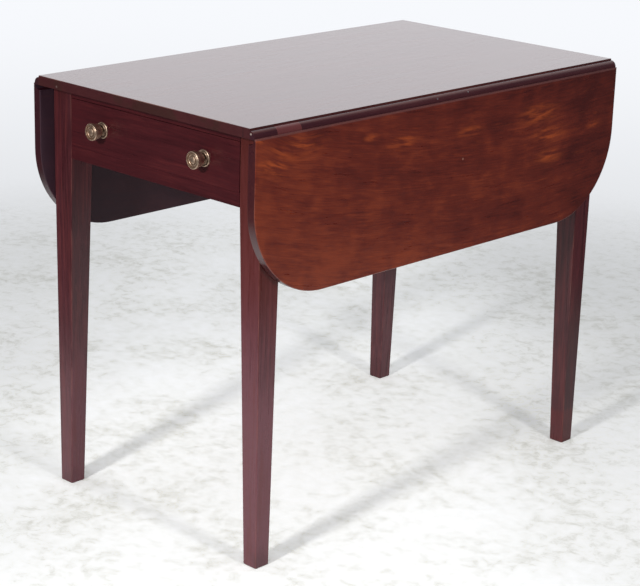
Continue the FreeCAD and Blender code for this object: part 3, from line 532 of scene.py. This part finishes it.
def polished_top():
    """Mahogany for the fixed top, with its joint lines, painted shade on its moulding and its let-in
    piece.
    """
    finish, tree, shader, place, normal = start_finish("polished_top")
    wood, streak, fibre, mottle, pores = mahogany_figure(
        tree, place, "Y", (0.3, 0.1, 0.7), top_tones, 0.02)
    x, y, z = parts_of(tree, place)
    flat = facing(tree, normal, up, 0.90, 0.99)
    ends = end_grain(tree, normal, "Y")
    wood = blot(tree, wood, ends, 0.72, top_end_tone)
    wood = blot(tree, wood, both(tree, ends, ease(tree, mottle, 0.46, 0.60)), 0.6, top_end_brown)
    for strip, face in ((edge_strip_line, flat), (edge_strip_end, ends)):
        gap = both(tree, line_at(tree, x, strip, *joint_width), face)
        wood = blot(tree, wood, gap, 0.7, grime)
        pores = either(tree, pores, both(tree, gap, ease(tree, streak, 0.35, 0.55)))
    # Painted shade: the quirk under the top's edge and the lower round of the moulding are darkened.
    moulding = ease(tree, calc(tree, "ABSOLUTE", x), *moulding_edge)
    shade = either(tree, ease(tree, z, *shade_heights), between(tree, z, *quirk_heights, quirk_soft))
    wood = blot(tree, wood, both(tree, moulding, shade), 0.5, moulding_painted_shade)
    right_moulding = ease(tree, x, *let_in_edge)
    piece = both(tree, between(tree, y, *let_in_piece, let_in_soft), right_moulding)
    wood = blot(tree, wood, piece, 0.7, let_in_tone)
    for piece_end in let_in_piece:
        seam = both(tree, line_at(tree, y, piece_end, *let_in_seam), right_moulding)
        wood = blot(tree, wood, seam, 0.8, grime)
    wear = both(tree, arris(tree, normal, to_drawer_end), ease(tree, mottle, 0.40, 0.62))
    wood = blot(tree, wood, wear, 0.35, worn_wood)
    for chip, share in ((end_chip, 0.25), (corner_chip, 0.75)):
        wood = blot(tree, wood, spot(tree, place, chip, *chip_size), share, chip_tone)
    dull = facing(tree, normal, down, *dull_turn)
    wood = blot(tree, wood, dull, 0.85, dark_dull_face)
    rough = calc(tree, "MULTIPLY_ADD", streak, 0.12, 0.20)
    rough = calc(tree, "MULTIPLY_ADD", either(tree, dull, ends), 0.2, rough)
    polish(tree, shader, wood, rough, calc(tree, "MULTIPLY_ADD", flat, 0.98, 0.02), fibre, pores, 0.10)
    return finish


put_on(polished_top(), "top_board")

# %% [markdown]
# The leaves carry the best board. Its grain sags a little and curls round an old knot. Along it the
# colour is painted darker towards one end, the far end on the right leaf, as shade where the light of
# the right-hand softbox falls off along it, and it is darker towards the top. In places a painted
# orange sheen stands for where the grain catches the light. The edges took the same polish as the
# face but have gone dark, the arris between them is a little rubbed, and a painted highlight runs
# along the upper edge. The inner face is dark and dull. The two leaves hang with opposite faces to
# the room, so the recipe takes the way that the show face looks.

# %% The leaves: knot, glow and fleck
leaf_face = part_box("leaf_right")[1].x
leaf_glow = paint(168, 76, 32)
knot_places = {1: (leaf_face, -0.40, 0.655), -1: (-leaf_face, 0.24, 0.62)}
knot_reach, knot_turn = 0.11, 0.34
knot_glow, knot_eye = (0.004, 0.030), (0.003, 0.016)
glow_places = ((-0.411, 0.663, 0.030), (-0.36, 0.682, 0.050), (-0.4325, 0.704, 0.016),
               (-0.116, 0.654, 0.030), (0.230, 0.651, 0.045), (0.256, 0.611, 0.035),
               (-0.194, 0.672, 0.014), (0.0445, 0.647, 0.026), (0.39, 0.612, 0.018),
               (0.262, 0.572, 0.030))
glow_stretch = (1.0, 0.55, 1.6)
lively_repeats = (90.0, 18.0, 130.0)
leaf_fleck, fleck_size = (leaf_face, 0.0301, 0.6034), (0.0008, 0.0022)
fleck_tone = paint(170, 128, 110)


def curled(tree, place, centre, reach, angle):
    """Places turned about a centre, most at the centre, so that the grain curls round it."""
    away = vector_calc(tree, "DISTANCE", place, centre)
    turn = tree.nodes.new("ShaderNodeVectorRotate")
    turn.rotation_type = "X_AXIS"
    turn.inputs["Center"].default_value = centre
    tree.links.new(place, turn.inputs["Vector"])
    tree.links.new(calc(tree, "MULTIPLY", ease(tree, away, reach, 0.0), angle), turn.inputs["Angle"])
    return turn.outputs[0]


def glow_mask(tree, place, side):
    """1 in the knot and in the other places on the show face where the grain catches the light."""
    glow = spot(tree, place, knot_places[side], *knot_glow)
    for glow_y, glow_z, size in glow_places:
        away = vector_calc(tree, "SUBTRACT", place, (side * leaf_face, side * glow_y, glow_z))
        away = vector_calc(tree, "LENGTH", vector_calc(tree, "MULTIPLY", away, glow_stretch))
        glow = either(tree, glow, ease(tree, away, size, 0.0))
    return glow


def show_face_marks(tree, wood, place, pattern, side, mottle):
    """The wood with its glow, the eye of its knot, its lively grain and one pale fleck."""
    lively = cloud(tree, pattern, lively_repeats, 3.0, 0.4, 0.65)
    # Painted sheen: orange where the grain catches the light, at the knot and the listed places.
    glow = both(tree, glow_mask(tree, place, side), ease(tree, lively, 0.40, 0.66))
    wood = blot(tree, wood, glow, 0.7, leaf_glow)
    eye = both(tree, spot(tree, pattern, knot_places[side], *knot_eye), ease(tree, mottle, 0.30, 0.52))
    wood = blot(tree, wood, eye, 0.55, leaf_glow)
    wood = blot(tree, wood, ease(tree, lively, 0.60, 0.80), 0.2, leaf_glow)
    return blot(tree, wood, spot(tree, place, leaf_fleck, *fleck_size), 0.7, fleck_tone)


print("places that glow on a leaf:", len(glow_places) + 1)

# %% The leaves: their finish
leaf_tones = paint(68, 20, 17), paint(96, 33, 22), paint(127, 52, 28)
leaf_streaks = (14.0, 130.0, 130.0)
leaf_shares = (0.24, 0.24, 0.26, 0.26)
leaf_sag, leaf_sag_middle = -0.2, 0.2
# How the painted shade falls along the leaf and how deep it is at the far end.
painted_shade_along, drift_up, drift_start = -0.10, -0.33, 0.194
painted_shade_end, painted_shade_end_depth = (0.25, 0.36), -0.06
leaf_edge_tone, leaf_edge_turn = paint(44, 16, 27), (0.75, 0.35)
# Colour and heights of the painted highlight along the leaf's upper edge.
leaf_lip_painted_highlight, leaf_lip_highlight_heights = paint(104, 68, 66), (0.7024, 0.7036)


def polished_leaf(name, side, shift):
    """Mahogany for a leaf whose show face looks along side times x."""
    finish, tree, shader, place, normal = start_finish(name)
    _, y, z = parts_of(tree, place)
    along = calc(tree, "SUBTRACT", y, side * leaf_sag_middle)
    sag = calc(tree, "MULTIPLY", calc(tree, "MULTIPLY", along, along), leaf_sag)
    sagged = vector_calc(tree, "ADD", place, vector_calc(tree, "MULTIPLY", up, sag))
    pattern = curled(tree, sagged, knot_places[side], knot_reach, knot_turn)
    # Painted shade towards one end of the leaf, where the side lamp's light falls off; the tone is also
    # lower towards the top.
    drift = calc(tree, "MULTIPLY_ADD", z, drift_up, drift_start)
    drift = calc(tree, "MULTIPLY_ADD", y, painted_shade_along * side, drift)
    painted_far_shade = ease(tree, calc(tree, "MULTIPLY", y, side), *painted_shade_end)
    drift = calc(tree, "MULTIPLY_ADD", painted_far_shade, painted_shade_end_depth, drift)
    wood, streak, fibre, mottle, pores = mahogany_figure(
        tree, pattern, "Y", shift, leaf_tones, 0.02, drift, leaf_streaks, leaf_shares)
    wood = show_face_marks(tree, wood, place, pattern, side, mottle)
    lean = calc(tree, "ABSOLUTE", vector_calc(tree, "DOT_PRODUCT", normal, to_right))
    wood = blot(tree, wood, ease(tree, lean, *leaf_edge_turn), 0.8, leaf_edge_tone)
    wear = both(tree, arris(tree, normal, to_right), ease(tree, mottle, 0.46, 0.62))
    wood = blot(tree, wood, wear, 0.25, worn_wood)
    # Painted highlight: a pale line along the leaf's upper edge, under the moulding.
    wood = blot(tree, wood, ease(tree, z, *leaf_lip_highlight_heights), 0.6, leaf_lip_painted_highlight)
    dull = facing(tree, normal, (-side, 0, 0), *dull_turn)
    wood = blot(tree, wood, dull, 0.85, dark_dull_face)
    rough = calc(tree, "MULTIPLY_ADD", streak, 0.16, 0.22)
    rough = calc(tree, "MULTIPLY_ADD", dull, 0.25, rough)
    coat = calc(tree, "MULTIPLY_ADD", dull, -0.5, 0.5)
    polish(tree, shader, wood, rough, coat, fibre, pores)
    return finish


put_on(polished_leaf("polished_leaf_right", 1, (1.7, 0.4, 0.2)), "leaf_right")
put_on(polished_leaf("polished_leaf_left", -1, (3.1, 0.9, 0.6)), "leaf_left")

# %% [markdown]
# The legs are sawn with the grain running down them, so the fibres stand upright and follow the
# taper, with redder streaks among them. Each came from its own plank, so each has its own figure.
# Each leg's tone is also set a little lighter or darker than the next, partly as plank tone and
# partly as painted light and shade for where it stands, and each is darker towards the top. The flank
# that looks to the right, towards the right-hand softbox, gets painted light and shade of its own,
# high and low. One front leg turns amber towards the top, and one back leg has lost its shine low on
# its flank, above a foot made up in redder wood. Shoes and brooms have rubbed all their edges. The
# rails and the drawer front have the grain across the table, and are the darkest and reddest.

# %% Legs, rails and drawer front
leg_tones = paint(60, 24, 28), paint(79, 35, 41), paint(104, 57, 65)
rail_tones = paint(52, 14, 19), paint(67, 20, 25), paint(85, 30, 31)
# Per leg: a tone shift, partly plank tone and partly painted light and shade, and painted light and shade
# on the right-facing flank, high and low.
leg_planks = {
    "leg_front_left": dict(tone_and_painted_light=0.05, fall=0.17, flank_painted_light_high=0.0, flank_painted_light_low=0.17),
    "leg_front_right": dict(tone_and_painted_light=0.35, fall=0.55, flank_painted_light_high=-0.10, flank_painted_light_low=0.11, amber=0.5),
    "leg_back_left": dict(tone_and_painted_light=0.03, fall=0.17, flank_painted_light_high=-0.02, flank_painted_light_low=0.02),
    "leg_back_right": dict(tone_and_painted_light=-0.01, fall=0.17, flank_painted_light_high=0.0, flank_painted_light_low=-0.16, duller=0.28)}
leg_amber = paint(90, 33, 19)
leg_red = paint(96, 40, 36)
leg_amber_reach = (0.34, 0.50)
leg_low_reach = (0.34, 0.10)
leg_scuff_height = 0.05
made_up_foot, foot_soft = 0.072, 0.010
foot_join_repeats, foot_join_ragged = (90.0, 90.0, 10.0), 0.03
foot_tone = paint(124, 40, 34)


def polished_leg(name, tone_and_painted_light, fall, flank_painted_light_high, flank_painted_light_low, amber=0.0, duller=0.0):
    """Mahogany for one leg, with rubbed edges and, on one back leg, a foot made up in redder wood."""
    finish, tree, shader, place, normal = start_finish("polished_" + name)
    z = parts_of(tree, place)[2]
    # The tone shift is partly plank tone and partly painted light and shade, and falls towards the top;
    # the right-facing flank gets painted light and shade of its own, from high to low.
    drift = calc(tree, "MULTIPLY_ADD", z, -fall, tone_and_painted_light)
    flank = facing(tree, normal, to_right, 0.5, 0.9)
    low = ease(tree, z, *leg_low_reach)
    flank_painted_light = calc(tree, "MULTIPLY_ADD", low, flank_painted_light_low - flank_painted_light_high, flank_painted_light_high)
    drift = calc(tree, "MULTIPLY_ADD", flank, flank_painted_light, drift)
    wood, streak, fibre, mottle, pores = mahogany_figure(
        tree, place, "Z", (tone_and_painted_light, 0.0, 0.0), leg_tones, 0.015, drift)
    wood = blot(tree, wood, ease(tree, z, *leg_amber_reach), amber, leg_amber)
    wood = blot(tree, wood, ease(tree, streak, 0.47, 0.62), 0.4, leg_red)
    if name == "leg_back_right":
        ragged = cloud(tree, place, foot_join_repeats)
        join = calc(tree, "MULTIPLY_ADD", ragged, foot_join_ragged, z)
        wood = blot(tree, wood, ease(tree, join, made_up_foot + foot_soft, made_up_foot), 0.16, foot_tone)
    wear = both(tree, arris(tree, normal, to_right), ease(tree, mottle, 0.40, 0.66))
    wood = blot(tree, wood, wear, 0.25, worn_wood)
    scuffed = both(tree, ease(tree, z, leg_scuff_height, 0.0), ease(tree, mottle, 0.45, 0.62))
    wood = blot(tree, wood, scuffed, 0.35, grime)
    wood = blot(tree, wood, end_grain(tree, normal, "Z"), 0.5, grime)
    rough = calc(tree, "MULTIPLY_ADD", streak, 0.20, 0.20)
    rough = calc(tree, "MULTIPLY_ADD", both(tree, flank, low), duller, rough)
    polish(tree, shader, wood, rough, 0.15, fibre, pores)
    return finish


def polished_rail():
    """Mahogany for the drawer front and the rails, grain across the table."""
    finish, tree, shader, place, normal = start_finish("polished_rail")
    wood, streak, fibre, mottle, pores = mahogany_figure(
        tree, place, "X", (0.5, 0.9, 0.1), rail_tones, 0.015)
    wood = blot(tree, wood, end_grain(tree, normal, "X"), 0.4, rail_tones[0])
    wear = both(tree, arris(tree, normal, to_drawer_end), ease(tree, mottle, 0.42, 0.62))
    wood = blot(tree, wood, wear, 0.35, worn_wood)
    rough = calc(tree, "MULTIPLY_ADD", streak, 0.16, 0.22)
    polish(tree, shader, wood, rough, 0.12, fibre, pores)
    return finish


for leg_name, plank in leg_planks.items():
    put_on(polished_leg(leg_name, **plank), leg_name)
put_on(polished_rail(), "drawer_front", "drawer_upper_rail", "drawer_lower_rail", "end_rail")

# %% [markdown]
# Inside, a maker saves the dear wood. The drawer box is oak, the side rails and the swinging
# brackets are beech, and the runners, kickers, stops and glue blocks are pine. None was ever
# polished, so they share one recipe: bare, rough, browned by air and dusty, each with its own tones
# and its own pores or bands.

# %% Bare timbers
oak = dict(tones=(paint(96, 66, 42), paint(138, 101, 64), paint(168, 130, 86)),
           band=60.0, pore_repeats=(60.0, 900.0, 900.0), pore_share=0.7)
beech = dict(tones=(paint(84, 52, 36), paint(116, 76, 52), paint(140, 98, 68)),
             band=45.0, pore_repeats=(160.0, 1500.0, 700.0), pore_share=0.45)
pine = dict(tones=(paint(112, 76, 44), paint(152, 112, 66), paint(182, 144, 92)),
            band=130.0, pore_repeats=(30.0, 260.0, 260.0), pore_share=0.2)
bare_stops = (0.38, 0.50, 0.62)
bare_fibres = (20.0, 420.0, 420.0)
dust_repeats = (7.0, 7.0, 7.0)
dust_tone = paint(44, 30, 24)
bare_depth = 0.0004


def bare_timber(name, grain, shift, tones, band, pore_repeats, pore_share):
    """Unpolished wood: band is the number of growth bands a metre across the grain."""
    finish, tree, shader, place, normal = start_finish(name)
    straight, wavy = along_grain(tree, place, grain, shift, 0.03)
    bands = cloud(tree, wavy, (1.5, band, band), 3.0, 0.2)
    fibre = cloud(tree, wavy, bare_fibres, 3.0)
    dust = cloud(tree, place, dust_repeats, 4.0, 0.4)
    pores = ease(tree, cloud(tree, straight, pore_repeats, 1.0), 0.60, 0.68)
    tone = calc(tree, "MULTIPLY_ADD", bands, 0.55, calc(tree, "MULTIPLY", fibre, 0.45))
    wood = ramp(tree, tone, *zip(bare_stops, tones))
    wood = blot(tree, wood, pores, pore_share, tones[0])
    wood = blot(tree, wood, end_grain(tree, normal, grain), 0.4, tones[0])
    wood = blot(tree, wood, ease(tree, dust, 0.48, 0.72), 0.5, dust_tone)
    feed(tree, shader.inputs["Base Color"], wood)
    feed(tree, shader.inputs["Roughness"], calc(tree, "MULTIPLY_ADD", fibre, 0.2, 0.62))
    shader.inputs["Specular IOR Level"].default_value = 0.25
    height = calc(tree, "SUBTRACT", fibre, calc(tree, "MULTIPLY", pores, 0.6))
    relief(tree, shader, height, bare_depth, 0.4)
    return finish


put_on(bare_timber("bare_oak_side", "Y", (0.2, 0.0, 0.5), **oak), *named("drawer_side_"))
put_on(bare_timber("bare_oak_across", "X", (0.6, 0.3, 0.1), **oak), "drawer_back", "drawer_bottom")
put_on(bare_timber("bare_beech", "Y", (0.9, 0.2, 0.3), **beech),
       *named("side_rail_", "fly_bracket_", "fly_centre_", "fly_end_"))
put_on(bare_timber("bare_pine_strip", "Y", (0.1, 0.7, 0.4), **pine),
       *named("drawer_runner_", "drawer_kicker_"))
put_on(bare_timber("bare_pine_block", "X", (0.4, 0.5, 0.8), **pine), "drawer_stops", "glue_blocks")

# %% [markdown]
# The knobs are turned brass. Handling keeps the rims, the ring and the raised middle bright, while
# the hollows, the neck and the dish of the rose keep their brown tarnish, in patches. The tarnish could
# be placed by hand, but a knob is a turning, so the distance from its axis and the distance out from
# the drawer say where its hollows are. Iron hinges, pins and screws are dark, with a bloom of rust.

# %% Metals
knob_low, knob_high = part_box("knob_right")
knob_axis = (knob_low + knob_high) / 2
drawer_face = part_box("drawer_front")[0].y
hollow_rings, ring_soft = ((0.0059, 0.0078), (0.0098, 0.0113)), 0.0005
rose_dish, dish_soft = (0.0, 0.0112), 0.0006
neck_reach, neck_soft = (0.0, 0.0085), 0.001
patch_repeats = (220.0, 220.0, 220.0)
turning_repeats = (0.0, 1400.0, 0.0)
bright_brass = paint(240, 212, 186)
dull_brass = paint(214, 184, 158)
tarnish = paint(114, 89, 74)
blotch_repeats = (130.0, 130.0, 130.0)
dark_iron = paint(58, 52, 50)
rusty_iron = paint(96, 58, 38)


def aged_brass(name):
    """Brass that is bright on rims and brown in hollows and patches."""
    finish, tree, shader, place, _ = start_finish(name)
    x, y, z = parts_of(tree, place)
    across = calc(tree, "SUBTRACT", calc(tree, "ABSOLUTE", x), knob_axis.x)
    over = calc(tree, "SUBTRACT", z, knob_axis.z)
    squares = calc(tree, "MULTIPLY_ADD", across, across, calc(tree, "MULTIPLY", over, over))
    radius = calc(tree, "SQRT", squares)
    patches = cloud(tree, place, patch_repeats, 3.0, 0.6)
    turning = cloud(tree, place, turning_repeats, 1.0)
    hollows = either(tree, *(between(tree, radius, *ring, ring_soft) for ring in hollow_rings))
    neck = between(tree, calc(tree, "SUBTRACT", drawer_face, y), *neck_reach, neck_soft)
    dish = both(tree, neck, between(tree, radius, *rose_dish, dish_soft))
    dish = both(tree, dish, ease(tree, patches, 0.34, 0.50))
    brown = either(tree, calc(tree, "MULTIPLY", hollows, 0.8), dish,
                   calc(tree, "MULTIPLY", ease(tree, patches, 0.46, 0.70), 0.7))
    metal = ramp(tree, patches, (0.35, dull_brass), (0.6, bright_brass))
    feed(tree, shader.inputs["Base Color"], blot(tree, metal, brown, 0.85, tarnish))
    feed(tree, shader.inputs["Roughness"], calc(tree, "MULTIPLY_ADD", brown, 0.22, 0.40))
    shader.inputs["Metallic"].default_value = 1.0
    relief(tree, shader, calc(tree, "ADD", turning, patches), 0.0001, 0.3)
    return finish


def browned_iron(name):
    """Old wrought iron: nearly black, with rust in blotches."""
    finish, tree, shader, place, _ = start_finish(name)
    blotches = cloud(tree, place, blotch_repeats, 4.0, 0.5)
    rust = ease(tree, blotches, 0.48, 0.68)
    feed(tree, shader.inputs["Base Color"], tinted(tree, rust, dark_iron, rusty_iron))
    feed(tree, shader.inputs["Roughness"], calc(tree, "MULTIPLY_ADD", rust, 0.35, 0.42))
    feed(tree, shader.inputs["Metallic"], calc(tree, "MULTIPLY_ADD", rust, -0.7, 0.9))
    relief(tree, shader, blotches, 0.0003, 0.5)
    return finish


put_on(aged_brass("aged_brass"), "knob_left", "knob_right", "knob_rose_left", "knob_rose_right")
put_on(browned_iron("browned_iron"),
       *named("hinge_", "top_screws", "rail_screws", "fly_pins_", "knob_nuts"))

# %% [markdown]
# Two cut brads hold the right moulding where it once worked loose. Their heads are a few millimetres
# across, rubbed bright, and driven in flush, because the hollow of the raised leaf slides over them.
# A dot in the finish could stand for them, but a head catches light on its bevel as the wood doesn't.
# Each starts as a short cylinder: the outer end is inset and raised into a low crown, its rim is
# bevelled, and the whole is turned square to the round of the moulding.

# %% Brads in the moulding
brad_radius = 0.0015
brad_sides = 24
brad_length = 0.0040
brad_crown = 0.0002
brad_crown_steps = ((0.4, 0.5), (0.25, 0.25))
brad_places = {"brad_near": (-0.0362, 31), "brad_far": (0.0409, 40)}
pit_repeats = (900.0, 900.0, 900.0)
pitted_iron = paint(84, 76, 74)
shiny_iron = paint(176, 172, 174)


def rubbed_iron(name):
    """Iron that a moving leaf keeps bright, with dark pits."""
    finish, tree, shader, place, _ = start_finish(name)
    pits = cloud(tree, place, pit_repeats, 3.0, 0.4)
    metal = ramp(tree, pits, (0.38, pitted_iron), (0.58, shiny_iron))
    feed(tree, shader.inputs["Base Color"], metal)
    feed(tree, shader.inputs["Roughness"], calc(tree, "MULTIPLY_ADD", pits, -0.3, 0.6))
    shader.inputs["Metallic"].default_value = 0.8
    relief(tree, shader, pits, 0.0001, 0.4)
    return finish


def make_brad(name, along, lean, finish):
    """A crowned nail head, flush with the round of the moulding."""
    bpy.ops.object.select_all(action="DESELECT")
    bpy.ops.mesh.primitive_cylinder_add(vertices=brad_sides, radius=brad_radius, depth=brad_length)
    brad = bpy.context.object
    brad.name = name
    for face in brad.data.polygons:
        face.select = face.normal.z > 0.9
    bpy.ops.object.mode_set(mode="EDIT")
    bpy.ops.mesh.select_mode(type="FACE")
    bpy.ops.mesh.bevel(offset=brad_crown, segments=2, affect="EDGES")
    bpy.ops.object.mode_set(mode="OBJECT")
    for face in brad.data.polygons:
        face.select = face.normal.z > 0.99
    bpy.ops.object.mode_set(mode="EDIT")
    for inward, outward in brad_crown_steps:
        bpy.ops.mesh.inset(thickness=brad_radius * inward, depth=brad_crown * outward)
    bpy.ops.object.mode_set(mode="OBJECT")
    out = Vector((math.cos(math.radians(lean)), 0, math.sin(math.radians(lean))))
    brad.rotation_euler = (0, math.radians(90 - lean), 0)
    brad.location = moulding_centre + Vector((0, along, 0)) + out * (moulding_radius - brad_length / 2)
    bpy.ops.object.transform_apply(location=True, rotation=True, scale=True)
    bpy.ops.object.shade_smooth_by_angle(angle=math.radians(40))
    brad.data.materials.append(finish)
    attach(brad, "frame")
    return brad


bright_iron = rubbed_iron("rubbed_iron")
brads = [make_brad(name, *place, bright_iron) for name, place in brad_places.items()]
print("brads:", [len(brad.data.polygons) for brad in brads])

# %% [markdown]
# The last cell sets the Standard view, so that colours come out as written.

# %% Set the view
bpy.context.scene.view_settings.view_transform = "Standard"
